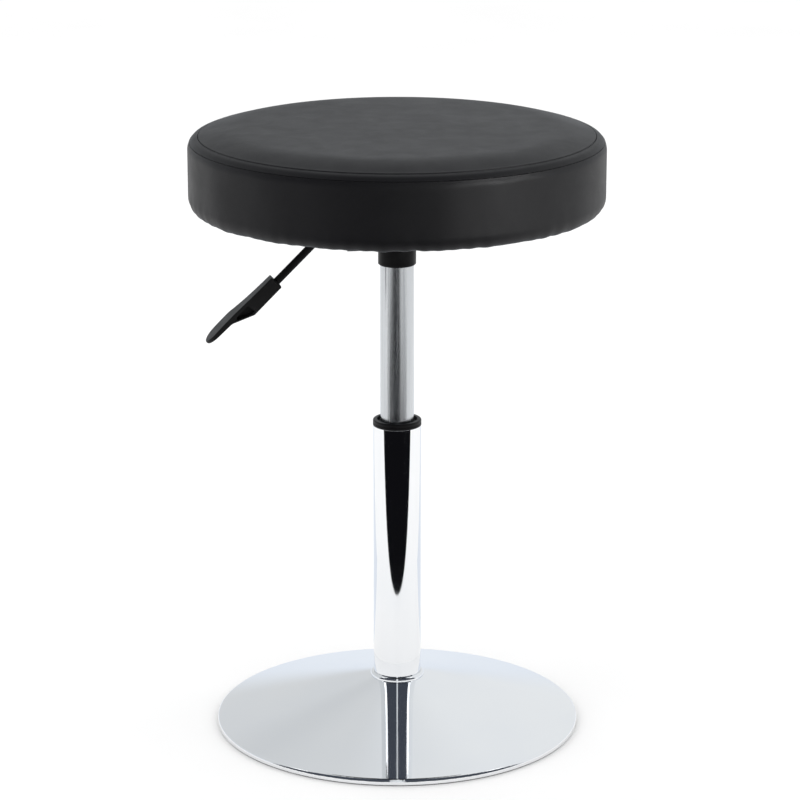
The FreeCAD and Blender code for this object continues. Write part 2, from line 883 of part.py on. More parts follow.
def make_grip(cosine, sine):
    """The moulded paddle on the rod's end: a side view and a plan view, and what they share."""
    length = size.grip_length
    side = new_body("grip_side", kept=False)
    side_view = new_sketch(side, "XZ_Plane")
    draw_outline(
        side_view,
        [
            (0, -6.6),
            (40, -6.2),
            (62, 4.9),
            (length, 6.0),
            (length, 9.6),
            (56, 10.6),
            (0, 8.3),
        ],
        {4: 420, 5: -700},
    )
    extrude(side, side_view, size.grip_width + 4, centred=True)
    soften(side, 6, lambda edge: edge.BoundBox.YLength > 20 and abs(edge.BoundBox.XMin - 40) < 0.1)
    soften(side, 12, lambda edge: edge.BoundBox.YLength > 20 and abs(edge.BoundBox.XMin - 62) < 0.1)

    plan = new_body("grip_plan", kept=False)
    plan_view = new_sketch(plan, "XY_Plane", -20)
    half = size.grip_width * 0.5
    tip = length - half
    draw_outline(
        plan_view,
        [
            (0, -7.6),
            (30, -9.2),
            (58, 0.2 - half),
            (tip, -half),
            (length, 0),
            (tip, half),
            (58, half - 0.2),
            (30, 9.2),
            (0, 7.6),
        ],
        {1: -140, 3: half, 4: half, 6: -140},
    )
    extrude(plan, plan_view, 40)
    doc.recompute()

    shared = doc.addObject("Part::Common", "GripShared")
    shared.Base = side
    shared.Tool = plan
    doc.recompute()
    rounded = doc.addObject("Part::Fillet", "GripRounded")
    rounded.Base = shared
    rounded.Edges = [(number, 1.4, 1.4) for number in range(1, len(shared.Shape.Edges) + 1)]
    doc.recompute()

    socket = new_body("grip_socket", kept=False)
    bore = new_sketch(socket, "YZ_Plane")
    draw_circle(bore, (0, 0), size.lever_radius)
    extrude(socket, bore, size.lever_reach - size.grip_start)
    cutters = [socket]
    web = Size(3.2)
    scoop_width = Size(20)
    for name, lift in (("grip_scoop_near", web), ("grip_scoop_far", -(web + scoop_width))):
        scoop = new_body(name, kept=False)
        outline = new_sketch(scoop, "XZ_Plane", lift)
        draw_outline(outline, [(37, -3.4), (42, -3.2), (57, 4.4), (54, 6.4), (38, 6.0)])
        extrude(scoop, outline, scoop_width)
        cutters.append(scoop)
    doc.recompute()

    removed = doc.addObject("Part::MultiFuse", "GripRemoved")
    removed.Shapes = cutters
    grip = doc.addObject("Part::Cut", "lever_grip")
    grip.Base = rounded
    grip.Tool = removed
    grip.Label = "lever_grip"
    along = FreeCAD.Rotation(
        FreeCAD.Vector(-cosine, 0, -sine), FreeCAD.Vector(0, -1, 0), FreeCAD.Vector(-sine, 0, cosine), "XYZ"
    )
    grip.Placement = FreeCAD.Placement(FreeCAD.Vector(), along)
    bind(grip, "Placement.Base.x", size.lever_bend_x - size.grip_start * cosine)
    bind(grip, "Placement.Base.z", size.lever_height - size.grip_start * sine)
    subparts.append(grip)


# ---------------------------------------------------------------- seat


def cushion(inset, foot):
    """Half of the cushion's section, drawn in by an inset and cut off at a foot: corners and arcs."""
    top = size.seat_top - inset
    edge = size.seat_radius - size.seat_shoulder
    shoulder = size.seat_shoulder - inset
    corner = size.seat_corner - inset
    crown = (edge * edge + size.seat_crown * size.seat_crown) / (size.seat_crown * 2)
    side = size.seat_radius - inset
    brow = top - size.seat_crown
    corners = [
        (0, foot),
        (size.seat_radius - size.seat_corner, foot),
        (side, foot + corner),
        (side, brow - shoulder),
        (edge, brow),
        (0, top),
    ]
    return corners, {1: corner, 3: shoulder, 4: crown}


def make_seat(tray_foot):
    board_top = size.board_foot + size.board_thick
    bolt = size.bolt_square * 0.5
    board = ring("seat_board", 15, size.board_radius, size.board_foot, board_top)
    for height in (size.board_foot, board_top):
        soften(board, 3, lambda edge: is_circle(edge, size.board_radius, height))
    drill(board, (bolt, bolt), size.tee_nut_barrel + 0.1, board_top, size.board_thick, 4)

    cover_wall = size.cover_wall
    outer, outer_arcs = cushion(Size(0), size.seat_foot)
    cover = turned("seat_cover", outer, outer_arcs)
    hollow, hollow_arcs = cushion(cover_wall, size.seat_foot + cover_wall)
    carve(cover, hollow, hollow_arcs)
    drill(cover, (0, 0), size.hem_radius, size.board_foot, 5)

    inset = cover_wall + size.foam_gap
    (_, *foam_shape), foam_arcs = cushion(inset, size.seat_foot + inset)
    wrap_radius = size.board_radius + 0.3
    foam_shape = [(0, board_top), (wrap_radius, board_top), (wrap_radius, size.seat_foot + inset), *foam_shape]
    foam = turned("seat_foam", foam_shape, {number + 2: radius for number, radius in foam_arcs.items()})
    recess_depth = size.tee_nut_flange + 0.4
    drill(foam, (bolt, bolt), 11, board_top + recess_depth, recess_depth, 4)

    make_fasteners(board_top, tray_foot)
    make_dust_cover(bolt)


def carve(body, corners, arcs):
    """Turn a hollow out of a body and see that it removes something."""
    doc.recompute()
    before = body.Shape.Volume
    sketch = new_sketch(body, "XZ_Plane")
    draw_outline(sketch, corners, arcs)
    groove = body.newObject("PartDesign::Groove", "Hollow")
    groove.Profile = sketch
    groove.ReferenceAxis = (sketch, ["V_Axis"])
    groove.Angle = 360
    doc.recompute()
    if not groove.Shape.Volume < before:
        raise ValueError(f"a groove in {body.Label} cuts nothing")


def turned_in_circle(label, circle, corners, count):
    """Small turned pieces, each about its own upright axis, in a circle about Z."""
    body = new_body(label)
    sketch = new_sketch(body, "XZ_Plane")
    draw_outline(sketch, [(circle + radius, height) for radius, height in corners])
    axis = sketch.addGeometry(Part.LineSegment(point((circle, 0)), point((circle, 100))), True)
    place_point(sketch, axis, 1, (circle, 0))
    place_point(sketch, axis, 2, (circle, 100))
    turn = body.newObject("PartDesign::Revolution", "Turn")
    turn.Profile = sketch
    turn.ReferenceAxis = (sketch, ["Axis0"])
    turn.Angle = 360
    repeat_round(body, [turn], count)
    return body


def make_fasteners(board_top, tray_foot):
    circle = size.bolt_square * math.sqrt(0.5)
    washer_foot = tray_foot - 1
    bolts = socket_head_bolts(
        "seat_bolts", circle, 4, Size(3), Size(5.2), washer_foot - 4, washer_foot, board_top - 1, 2.3
    )
    washers = turned_in_circle(
        "seat_washers", circle, [(3.3, washer_foot), (8, washer_foot), (8, tray_foot), (3.3, tray_foot)], 4
    )
    thread = 3.02
    flange_top = board_top + size.tee_nut_flange
    nuts = turned_in_circle(
        "tee_nuts",
        circle,
        [
            (thread, size.board_foot + 2),
            (size.tee_nut_barrel, size.board_foot + 2),
            (size.tee_nut_barrel, board_top),
            (10, board_top),
            (10, flange_top),
            (thread, flange_top),
        ],
        4,
    )
    for group in (bolts, washers, nuts):
        swing(group, UP, 45, (0, 0, 0))


def make_dust_cover(bolt):
    """The cloth under the board, lying over the cover's hem, and the two rings of staples."""
    cloth = size.cloth_thick
    wire = size.staple_wire
    low_top = size.seat_foot - wire
    step_end = size.hem_radius - 6
    step_start = step_end - size.cloth_slope
    cover = turned(
        "dust_cover",
        [
            (0, size.board_foot - cloth),
            (step_start, size.board_foot - cloth),
            (step_end, low_top - cloth),
            (size.cloth_radius, low_top - cloth),
            (size.cloth_radius, low_top),
            (step_end, low_top),
            (step_start, size.board_foot),
            (0, size.board_foot),
        ],
    )
    drill(cover, (bolt, bolt), size.cloth_hole_radius, size.board_foot, cloth, 4)
    legs_top = size.board_foot + 7
    staples("cover_staples", size.hem_radius + 5, size.seat_foot, legs_top, size.cover_staple_count)
    staples("dust_cover_staples", size.hem_radius + 10, low_top - cloth, legs_top - 1, size.cloth_staple_count)


def staples(label, radius, top, tips, count):
    """A ring of staples with their crowns just under a height and their legs up to their tips."""
    body = new_body(label)
    wire = size.staple_wire
    half = size.staple_width * 0.5
    shape = new_sketch(body, "YZ_Plane", radius)
    draw_outline(
        shape,
        [
            (-half, top - wire),
            (half, top - wire),
            (half, tips),
            (half - wire, tips),
            (half - wire, top),
            (wire - half, top),
            (wire - half, tips),
            (-half, tips),
        ],
    )
    staple = extrude(body, shape, wire * 1.6, centred=True)
    repeat_round(body, [staple], count)


# ---------------------------------------------------------------- build, check and write


def check_document():
    doc.recompute()
    failed = [thing.Label for thing in doc.Objects if {"Invalid", "Error"} & set(thing.State)]
    if failed:
        raise ValueError(f"objects that failed: {failed}")
    for subpart in subparts:
        if subpart.Shape.isNull() or not subpart.Shape.isValid():
            raise ValueError(f"{subpart.Label} has no valid shape")


def write_subparts():
    os.makedirs("parts", exist_ok=True)
    for subpart in subparts:
        subpart.Shape.exportStep(f"parts/{subpart.Label}.step")
        print(f"{subpart.Label}: {len(subpart.Shape.Solids)} solids, {subpart.Shape.Volume / 1000:.2f} cm3")


plate_top = make_base()
cup_top = make_column(plate_top)
shoulder = make_bearing(cup_top)
make_rod(shoulder, plate_top)
make_gas_spring()
tray_foot = make_bracket()
make_lever()
make_seat(tray_foot)
check_document()
write_subparts()
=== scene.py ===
import math

import bmesh
import bpy
import numpy as np
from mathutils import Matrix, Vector


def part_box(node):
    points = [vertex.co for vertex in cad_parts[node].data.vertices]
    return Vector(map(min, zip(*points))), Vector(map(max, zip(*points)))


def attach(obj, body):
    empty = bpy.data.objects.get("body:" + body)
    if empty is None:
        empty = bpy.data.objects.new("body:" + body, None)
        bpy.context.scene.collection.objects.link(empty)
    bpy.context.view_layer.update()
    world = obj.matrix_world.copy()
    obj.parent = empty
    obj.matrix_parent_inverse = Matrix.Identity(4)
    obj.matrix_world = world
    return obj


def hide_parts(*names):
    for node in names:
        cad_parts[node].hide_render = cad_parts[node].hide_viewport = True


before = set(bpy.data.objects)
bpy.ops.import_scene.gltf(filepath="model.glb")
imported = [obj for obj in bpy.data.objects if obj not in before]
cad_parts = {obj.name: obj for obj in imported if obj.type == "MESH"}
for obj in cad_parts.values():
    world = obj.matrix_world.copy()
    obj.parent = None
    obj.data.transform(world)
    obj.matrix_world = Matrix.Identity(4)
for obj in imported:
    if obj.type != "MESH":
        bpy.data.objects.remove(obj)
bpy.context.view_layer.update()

MM = 0.001

# ---------------------------------------------------------------- camera, floor and light

CAMERA_SIDE = -10
CAMERA_AZIMUTH = math.radians(CAMERA_SIDE)
CAMERA_PITCH = math.radians(15.77)
CAMERA_TURN = math.radians(-0.055)
CAMERA_BACK = 3.113
CAMERA_HEIGHT = 1.2324
CAMERA_LENS = 139.4

ROOM_LIGHT = 1.1
WALL_LEFT = 0.74
WALL_MIDDLE = 0.84
WALL_RIGHT = 0.9
CORNER_SHADE = 0.04
WALL_TINT = (0.955, 0.98, 1.0)
FRONT_TINT = (0.062, 0.07, 0.088)
# Where the room that reflections see changes: X to the right, Z up, both from -1 to 1.
LEFT_BAND = (-0.13, 0.02)
RIGHT_BAND = (0.02, 0.2)
CORNER_BAND = (-0.13, -0.02)
CORNER_LEVEL = 0.6
CORNER_REACH = 0.16
GLOW_BAND = (-0.02, 0.22)
# The same for its dark front, in radians from the way to the camera.
FRONT_BAND = (1.3, 1.5)
GAP_BAND = (0.05, 0.1)

FLOOR_HALF = 30
FLOOR_HEIGHT = -0.2 * MM
CARPET_HEIGHT = 0.6 * MM
SHEET_HEIGHT = 0.9 * MM
# Outlines on the floor, as (to the right, towards the camera) from the stool's axis, in metres.
CARPET = [(-1.6, 0.44), (1.6, 0.44), (0.75, 1.15), (0.62, 1.5), (0.62, 6), (-1.5, 6), (-1.25, 1.6)]
PANEL = [(0.72, 1.05), (1.05, 0.72), (2.4, 1.65), (1.65, 2.4)]
PANEL_GLOW = 0.9
BACKDROP = [(-0.5, -0.22), (0.5, -0.22), (4, -25), (-4, -25)]
BACKDROP_GLOW = (0.83, 0.88, 0.95)

LIGHT_AIM = Vector((0, 0, 0.35))
# Soft boxes that reflections don't see: azimuth in degrees, distance, height and size in metres.
SOFT_BOXES = {
    "light_left": (-75, 2.6, 1.7, 1.6),
    "light_right": (80, 2.6, 1.7, 1.6),
    "light_back": (180, 2.6, 2.4, 1.8),
}
SOFT_BOX_POWER = 8
# Soft boxes that only reflections see, with the same measures. The strips stand to both sides of the camera.
STRIP_TURN = 80
STRIP_PLACE = (2.4, 2.8, 0.6)
STRIP_POWER = 1.6
SHEEN_PLACE = (44, 2.4, 1.05, 0.7)
SHEEN_POWER = 38


def seen_from(azimuth, distance, height=0.0):
    """A point at a distance from the stool's axis, on the side that an azimuth looks from."""
    return Vector((math.sin(azimuth) * distance, -math.cos(azimuth) * distance, height))


def make_camera():
    lens = bpy.data.cameras.new("camera")
    lens.lens = CAMERA_LENS
    lens.clip_end = 100
    camera = bpy.data.objects.new("camera", lens)
    camera.location = seen_from(CAMERA_AZIMUTH, CAMERA_BACK, CAMERA_HEIGHT)
    camera.rotation_euler = (math.pi / 2 - CAMERA_PITCH, 0, CAMERA_AZIMUTH + CAMERA_TURN)
    bpy.context.scene.collection.objects.link(camera)
    bpy.context.scene.camera = camera


def stage_sheet(name, corners, height, material):
    """A flat piece of the studio, such as the floor, from its corners."""
    mesh = bpy.data.meshes.new(name)
    mesh.from_pydata([(x, y, height) for x, y in corners], [], [tuple(range(len(corners)))])
    mesh.materials.append(material)
    sheet = bpy.data.objects.new(name, mesh)
    bpy.context.scene.collection.objects.link(sheet)
    return sheet


def soft_light(name, azimuth, distance, height, size, power, glossy=True, diffuse=True):
    """A square soft box that faces the stool."""
    lamp = bpy.data.lights.new(name, "AREA")
    lamp.shape = "SQUARE"
    lamp.size = size
    lamp.energy = power
    light = bpy.data.objects.new(name, lamp)
    light.location = seen_from(math.radians(azimuth), distance, height)
    aim = LIGHT_AIM - light.location
    light.rotation_euler = aim.to_track_quat("-Z", "Y").to_euler()
    light.visible_camera = False
    light.visible_glossy = glossy
    light.visible_diffuse = diffuse
    bpy.context.scene.collection.objects.link(light)
    return light


def make_world():
    """Even white light. Reflections see a room instead: pale walls, brighter on the right and towards the
    horizon, a shaded corner on the left, and a dark front with a narrow gap of wall in its middle."""
    world = bpy.data.worlds.new("studio")
    bpy.context.scene.world = world
    world.use_nodes = True
    room = NodeTree(world.node_tree)
    turn = room.node("Mapping", room.new("TexCoord").outputs["Generated"])
    turn.inputs["Rotation"].default_value = (0, 0, -CAMERA_AZIMUTH)
    way = room.node("SeparateXYZ", turn.outputs[0]).outputs
    wall = room.sum(
        room.span(way["X"], WALL_LEFT, WALL_MIDDLE, *LEFT_BAND, smooth=True),
        room.span(way["X"], 0, WALL_RIGHT - WALL_MIDDLE, *RIGHT_BAND, smooth=True),
    )
    from_corner = room.sum(room.sum(way["Z"], -CORNER_LEVEL), 0, "ABSOLUTE")
    corner = room.sum(
        room.span(way["X"], 1, 0, *CORNER_BAND, smooth=True),
        room.span(from_corner, 1, 0, 0, CORNER_REACH, smooth=True),
        "MULTIPLY",
    )
    wall = room.sum(wall, room.sum(corner, CORNER_SHADE, "MULTIPLY"), "SUBTRACT")
    bearing = room.sum(way["X"], room.sum(way["Y"], -1, "MULTIPLY"), "ARCTAN2")
    bearing = room.sum(bearing, 0, "ABSOLUTE")
    front = room.span(bearing, 1, 0, *FRONT_BAND, smooth=True)
    gap = room.span(bearing, 0, 1, *GAP_BAND)
    dark = room.sum(front, gap, "MULTIPLY")
    walls = room.mix(wall, (0, 0, 0), WALL_TINT)
    walls = room.mix(room.span(way["Z"], 1, 0, *GLOW_BAND, smooth=True), walls, BACKDROP_GLOW)
    seen = room.mix(dark, walls, FRONT_TINT)
    glossy = room.new("LightPath").outputs["Is Glossy Ray"]
    back = room.nodes["Background"]
    room.links.new(room.mix(glossy, (ROOM_LIGHT,) * 3, seen), back.inputs["Color"])


def make_studio():
    """A white room: a pale floor, soft boxes, and flat sheets on the floor that only reflections see: a dark
    carpet in front, a bright panel on its right and a bright backdrop behind."""
    scene = bpy.context.scene
    scene.view_settings.view_transform = "Standard"
    scene.view_settings.look = "None"
    make_world()

    white = Finish("floor_white", (0.9, 0.9, 0.9), 0.7)
    white.color(white.noise(3), (0.9, 0.9, 0.9), (0.915, 0.915, 0.915))
    white.inputs["Specular IOR Level"].default_value = 0
    corners = [(x * FLOOR_HALF, y * FLOOR_HALF) for x, y in ((-1, -1), (1, -1), (1, 1), (-1, 1))]
    stage_sheet("floor", corners, FLOOR_HEIGHT, white.material)

    black = Finish("carpet_black", (0.004, 0.004, 0.005), 0.9)
    black.inputs["Specular IOR Level"].default_value = 0
    ahead = seen_from(CAMERA_AZIMUTH, 1)
    right = Vector((math.cos(CAMERA_AZIMUTH), math.sin(CAMERA_AZIMUTH), 0))
    sheets = [("dark_carpet", CARPET, CARPET_HEIGHT, black)]
    for name, outline, tint, glow in (
        ("bright_panel", PANEL, (1, 1, 1), PANEL_GLOW), ("backdrop", BACKDROP, BACKDROP_GLOW, 1.0)
    ):
        lit = Finish(name, (0, 0, 0), 0.9)
        lit.inputs["Specular IOR Level"].default_value = 0
        lit.inputs["Emission Color"].default_value = (*tint, 1)
        lit.inputs["Emission Strength"].default_value = glow
        sheets.append((name, outline, SHEET_HEIGHT, lit))
    for name, outline, height, finish in sheets:
        corners = [(ahead * far + right * side).xy for side, far in outline]
        sheet = stage_sheet(name, corners, height, finish.material)
        for kind in ("camera", "diffuse", "shadow", "transmission", "volume_scatter"):
            setattr(sheet, f"visible_{kind}", False)

    for name, place in SOFT_BOXES.items():
        soft_light(name, *place, SOFT_BOX_POWER, glossy=False)
    for name, side in (("light_strip_left", -1), ("light_strip_right", 1)):
        soft_light(name, CAMERA_SIDE + side * STRIP_TURN, *STRIP_PLACE, STRIP_POWER, diffuse=False)


def light_seat(piece):
    """The soft box that puts the sheen on the leather. It lights nothing else."""
    light = soft_light("light_sheen", *SHEEN_PLACE, SHEEN_POWER, diffuse=False)
    lit = bpy.data.collections.new("sheen_receivers")
    lit.objects.link(piece)
    light.light_linking.receiver_collection = lit


# ---------------------------------------------------------------- finishes


class NodeTree:
    """Short calls for the nodes of a material or of the world."""

    def __init__(self, tree):
        self.nodes, self.links = tree.nodes, tree.links

    def new(self, kind):
        return self.nodes.new("ShaderNode" + kind)

    def node(self, kind, source, **values):
        """A node that the source feeds, with its other inputs set by name."""
        made = self.new(kind)
        for name, value in values.items():
            made.inputs[name.replace("_", " ")].default_value = value
        self.links.new(source, made.inputs[0])
        return made

    def span(self, source, low, high, start=0.0, stop=1.0, smooth=False):
        """The source, carried from start and stop to low and high."""
        made = self.node("MapRange", source)
        made.interpolation_type = "SMOOTHSTEP" if smooth else "LINEAR"
        for name, value in (("To Min", low), ("To Max", high), ("From Min", start), ("From Max", stop)):
            made.inputs[name].default_value = value
        return made.outputs[0]

    def sum(self, first, second, kind="ADD"):
        """What a sum of two gives; each is a plain number or another node's output."""
        made = self.new("Math")
        made.operation = kind
        for socket, value in zip(made.inputs, (first, second)):
            if isinstance(value, (int, float)):
                socket.default_value = value
            else:
                self.links.new(value, socket)
        return made.outputs[0]

    def mix(self, share, low, high):
        """A colour between two, which are plain colours or other nodes' outputs."""
        made = self.new("Mix")
        made.data_type = "RGBA"
        self.links.new(share, made.inputs["Factor"])
        for name, value in (("A", low), ("B", high)):
            socket = next(x for x in made.inputs if x.name == name and x.type == "RGBA")
            if isinstance(value, tuple):
                socket.default_value = (*value, 1)
            else:
                self.links.new(value, socket)
        return next(x for x in made.outputs if x.type == "RGBA")


class Finish(NodeTree):
    """A material in the making."""

    def __init__(self, name, color, rough, metal=0.0, **fixed):
        self.name = name
        self.material = bpy.data.materials.new(name)
        self.material.use_nodes = True
        self.material.diffuse_color = (*color, 1)
        super().__init__(self.material.node_tree)
        self.inputs = self.nodes["Principled BSDF"].inputs
        self.inputs["Base Color"].default_value = (*color, 1)
        self.inputs["Roughness"].default_value = rough
        self.inputs["Metallic"].default_value = metal
        for socket, value in fixed.items():
            self.inputs[socket.replace("_", " ")].default_value = value
        self.place = self.new("TexCoord").outputs["Object"]
        self.normal = None

    def stretched(self, x, y, z):
        """The place, scaled along each axis."""
        return self.node("Mapping", self.place, Scale=(x, y, z)).outputs[0]

    def noise(self, scale, detail=3.0, rough=0.55, place=None, distortion=0.0):
        made = self.node("TexNoise", place or self.place, Scale=scale, Detail=detail, Roughness=rough)
        made.inputs["Distortion"].default_value = distortion
        return made.outputs["Fac"]

    def cells(self, scale, edges=False):
        made = self.node("TexVoronoi", self.place, Scale=scale)
        made.feature = "DISTANCE_TO_EDGE" if edges else "SMOOTH_F1"
        return made.outputs["Distance"]

    def color(self, source, low, high, start=0.35, stop=0.65):
        """The base colour, from low to high as the source goes from start to stop."""
        self.links.new(self.mix(self.span(source, 0, 1, start, stop), low, high), self.inputs["Base Color"])

    def rough(self, source, low, high, start=0.3, stop=0.7):
        self.links.new(self.span(source, low, high, start, stop), self.inputs["Roughness"])

    def bump(self, source, depth, strength):
        """Relief of a depth in metres, on top of any relief so far."""
        made = self.new("Bump")
        made.inputs["Strength"].default_value = strength
        made.inputs["Distance"].default_value = depth
        self.links.new(source, made.inputs["Height"])
        if self.normal is not None:
            self.links.new(self.normal, made.inputs["Normal"])
        self.normal = made.outputs[0]
        self.links.new(self.normal, self.inputs["Normal"])

    def round_grain(self, turn):
        """Lines of grain that run round the upright axis, or along it with a quarter turn."""
        tangent = self.new("Tangent")
        tangent.direction_type = "RADIAL"
        tangent.axis = "Z"
        self.links.new(tangent.outputs[0], self.inputs["Tangent"])
        self.inputs["Anisotropic Rotation"].default_value = turn


def chrome():
    f = Finish("chrome", (0.86, 0.875, 0.89), 0.035, 1.0)
    f.rough(f.noise(22, 4, 0.6), 0.02, 0.06)
    f.color(f.noise(9, 2), (0.85, 0.865, 0.885), (0.875, 0.885, 0.895))
    f.bump(f.noise(60, 2), 0.02 * MM, 0.25)
    return f


def satin_steel():
    f = Finish("satin_steel", (0.56, 0.58, 0.6), 0.2, 1.0, Anisotropic=0.55)
    f.round_grain(0.25)
    lines = f.noise(1, 3, 0.7, f.stretched(900, 900, 9))
    broad = f.noise(1, 2, 0.5, f.stretched(260, 260, 3))
    specks = f.noise(700, 1, 0.4)
    f.rough(f.sum(lines, broad, "MULTIPLY"), 0.18, 0.3, 0.15, 0.4)
    f.color(f.sum(broad, f.span(specks, 0, 0.5, 0.7, 0.8), "SUBTRACT"), (0.5, 0.52, 0.54), (0.64, 0.66, 0.68))
    f.bump(lines, 0.03 * MM, 0.5)
    return f


def bright_steel():
    f = Finish("bright_steel", (0.62, 0.65, 0.68), 0.28, 1.0)
    f.rough(f.noise(180, 4), 0.2, 0.42)
    f.color(f.noise(60, 3), (0.55, 0.57, 0.6), (0.7, 0.73, 0.76))
    f.bump(f.noise(900, 2), 0.02 * MM, 0.4)
    return f


def raw_steel():
    f = Finish("raw_steel", (0.3, 0.3, 0.31), 0.45, 1.0)
    f.rough(f.noise(45, 5, 0.65), 0.32, 0.6)
    f.color(f.noise(28, 5, 0.7), (0.2, 0.2, 0.215), (0.4, 0.395, 0.39))
    f.bump(f.noise(500, 3), 0.05 * MM, 0.5)
    return f


def black_steel():
    f = Finish("black_steel", (0.005, 0.005, 0.0055), 0.38, Specular_IOR_Level=0.1)
    f.rough(f.noise(70, 3), 0.32, 0.44)
    f.color(f.noise(40, 3), (0.004, 0.004, 0.0045), (0.008, 0.008, 0.0085))
    f.bump(f.cells(900), 0.05 * MM, 0.5)
    f.bump(f.noise(260, 2), 0.06 * MM, 0.4)
    return f


def aluminium():
    f = Finish("aluminium", (0.78, 0.79, 0.8), 0.25, 1.0)
    f.rough(f.noise(1, 3, 0.6, f.stretched(60, 60, 2500)), 0.18, 0.4)
    f.color(f.noise(80, 3), (0.72, 0.73, 0.74), (0.84, 0.85, 0.86))
    return f


def plastic(name, low, high, rough, grain, depth):
    """Moulded plastic with a spark-eroded skin, its depth in millimetres."""
    f = Finish(name, low, rough, Specular_IOR_Level=0.15)
    f.rough(f.noise(55, 4), rough - 0.05, rough + 0.07)
    f.color(f.noise(30, 3), low, high)
    f.bump(f.noise(grain, 2, 0.5), depth * MM, 0.6)
    f.bump(f.noise(grain * 0.28, 2), depth * 1.4 * MM, 0.3)
    return f


def rubber(name, low, high):
    f = Finish(name, low, 0.62)
    f.rough(f.noise(90, 4), 0.55, 0.75)
    f.color(f.noise(50, 4), low, high)
    f.bump(f.noise(1300, 2), 0.05 * MM, 0.5)
    return f


PLY_PAIR = 2.4 * MM


def plywood():
    f = Finish("plywood", (0.55, 0.38, 0.22), 0.6)
    split = f.node("SeparateXYZ", f.place)
    layers = f.sum(split.outputs["Z"], 2 * math.pi / PLY_PAIR, "MULTIPLY")
    layers = f.sum(layers, 0, "SINE")
    grain = f.noise(1, 4, 0.65, f.stretched(14, 220, 60), 0.6)
    f.color(f.sum(grain, f.sum(layers, 0.14, "MULTIPLY")), (0.34, 0.21, 0.11), (0.66, 0.47, 0.28), 0.25, 0.8)
    f.rough(grain, 0.52, 0.7)
    f.bump(grain, 0.2 * MM, 0.6)
    return f


def foam():
    f = Finish("foam", (0.72, 0.66, 0.5), 0.9, Sheen_Weight=0.2)
    holes = f.cells(750)
    f.color(f.sum(f.noise(20, 4), f.span(holes, -0.2, 0.2)), (0.55, 0.48, 0.32), (0.82, 0.76, 0.58), 0.2, 0.8)
    f.rough(holes, 0.82, 0.98)
    f.bump(holes, 0.5 * MM, 0.9)
    return f


def leather():
    """Coated upholstery leather: fine pebble grain, faint creases, a soft sheen."""
    low, high = (0.003, 0.0029, 0.0042), (0.0046, 0.0045, 0.006)
    f = Finish("seat_leather", low, 0.48, Specular_IOR_Level=0.24)
    pebbles = f.cells(1150, edges=True)
    wide = f.noise(38, 5, 0.6, distortion=0.4)
    creases = f.noise(1, 3, 0.6, f.stretched(55, 55, 130), 1.2)
    f.color(f.sum(f.noise(12, 4), f.span(pebbles, -0.12, 0.12, 0, 0.25)), low, high, 0.3, 0.7)
    f.rough(f.sum(wide, f.span(pebbles, 0.08, -0.06, 0, 0.3)), 0.45, 0.51)
    f.bump(pebbles, 0.09 * MM, 0.7)
    f.bump(f.noise(420, 3), 0.06 * MM, 0.5)
    f.bump(creases, 0.25 * MM, 0.2)
    return f


def thread():
    f = Finish("seat_thread", (0.003, 0.003, 0.0034), 0.5, Specular_IOR_Level=0.15)
    f.rough(f.noise(900, 2), 0.42, 0.6)
    f.color(f.noise(500, 2), (0.0025, 0.0025, 0.003), (0.006, 0.006, 0.0066))
    f.bump(f.noise(1, 2, 0.5, f.stretched(2200, 2200, 900)), 0.05 * MM, 0.8)
    return f


def dust_cloth():
    """Thin spun cloth: a mat of fibres with a grid of pressed dots."""
    f = Finish("dust_cloth", (0.016, 0.016, 0.017), 0.85, Sheen_Weight=0.25)
    fibres = f.noise(900, 5, 0.75, distortion=2.5)
    dots = f.cells(420)
    f.color(fibres, (0.01, 0.01, 0.011), (0.03, 0.03, 0.032))
    f.rough(fibres, 0.72, 0.95)
    f.bump(fibres, 0.12 * MM, 0.7)
    f.bump(dots, 0.15 * MM, 0.5)
    return f


def make_finishes():
    return {f.name: f.material for f in (
        chrome(), satin_steel(), bright_steel(), raw_steel(), black_steel(), aluminium(), plywood(), foam(),
        leather(), thread(), dust_cloth(),
        plastic("black_plastic", (0.004, 0.004, 0.0045), (0.008, 0.008, 0.0085), 0.36, 900, 0.05),
        plastic("grip_plastic", (0.006, 0.006, 0.0062), (0.01, 0.01, 0.0104), 0.4, 1100, 0.06),
        plastic("white_nylon", (0.72, 0.71, 0.66), (0.8, 0.79, 0.75), 0.42, 700, 0.04),
        rubber("grey_rubber", (0.16, 0.16, 0.165), (0.22, 0.22, 0.225)),
        rubber("black_rubber", (0.013, 0.013, 0.014), (0.022, 0.022, 0.023)),
    )}


def dress_nodes(finishes):
    """Give every slot of every CAD node the finish that the slot is named after."""
    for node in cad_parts.values():
        for slot in node.material_slots:
            slot.material = finishes[slot.material.name.split(".")[0]]


# ---------------------------------------------------------------- upholstery

BOX_LOW, BOX_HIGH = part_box("seat_cover")
SEAT_RADIUS = BOX_HIGH.x
SEAT_TOP = BOX_HIGH.z
SEAT_FOOT = BOX_LOW.z
HEM_RADIUS = 168 * MM
# The cover before it is blown up. Its side stands the slack inside the CAD's, and its top the crown below.
SHOULDER = 15 * MM
CORNER = 13 * MM
CROWN = 1.5 * MM
SLACK = 1.2 * MM
FLAT_RADIUS = 160 * MM
TOP_ANGLE = 72
# How far the bottom of the side hangs down, from which radius on, and up to which height over the foot.
# The foot room is how far the gathers may reach below the foot before that.
SAG = 2.2 * MM
SAG_RADIUS = 184 * MM
SAG_WIDTH = 12 * MM
SAG_HEIGHT = 16 * MM
FOOT_ROOM = 0.4 * MM

# The mesh: points round, the even middle of the top, and rows along the section.
STITCHES = 208
ROUND = STITCHES * 2
CORE_RINGS = ROUND // 8
CORE_RADIUS = 170 * MM
TOP_STEP = 3 * MM
SHOULDER_STEPS = 12
BAND_STEPS = 7
SIDE_STEPS = 12
CORNER_STEPS = 11
HEM_STEPS = 9
ROW_STEP = 0.5
SEAM_REACH = 0.7

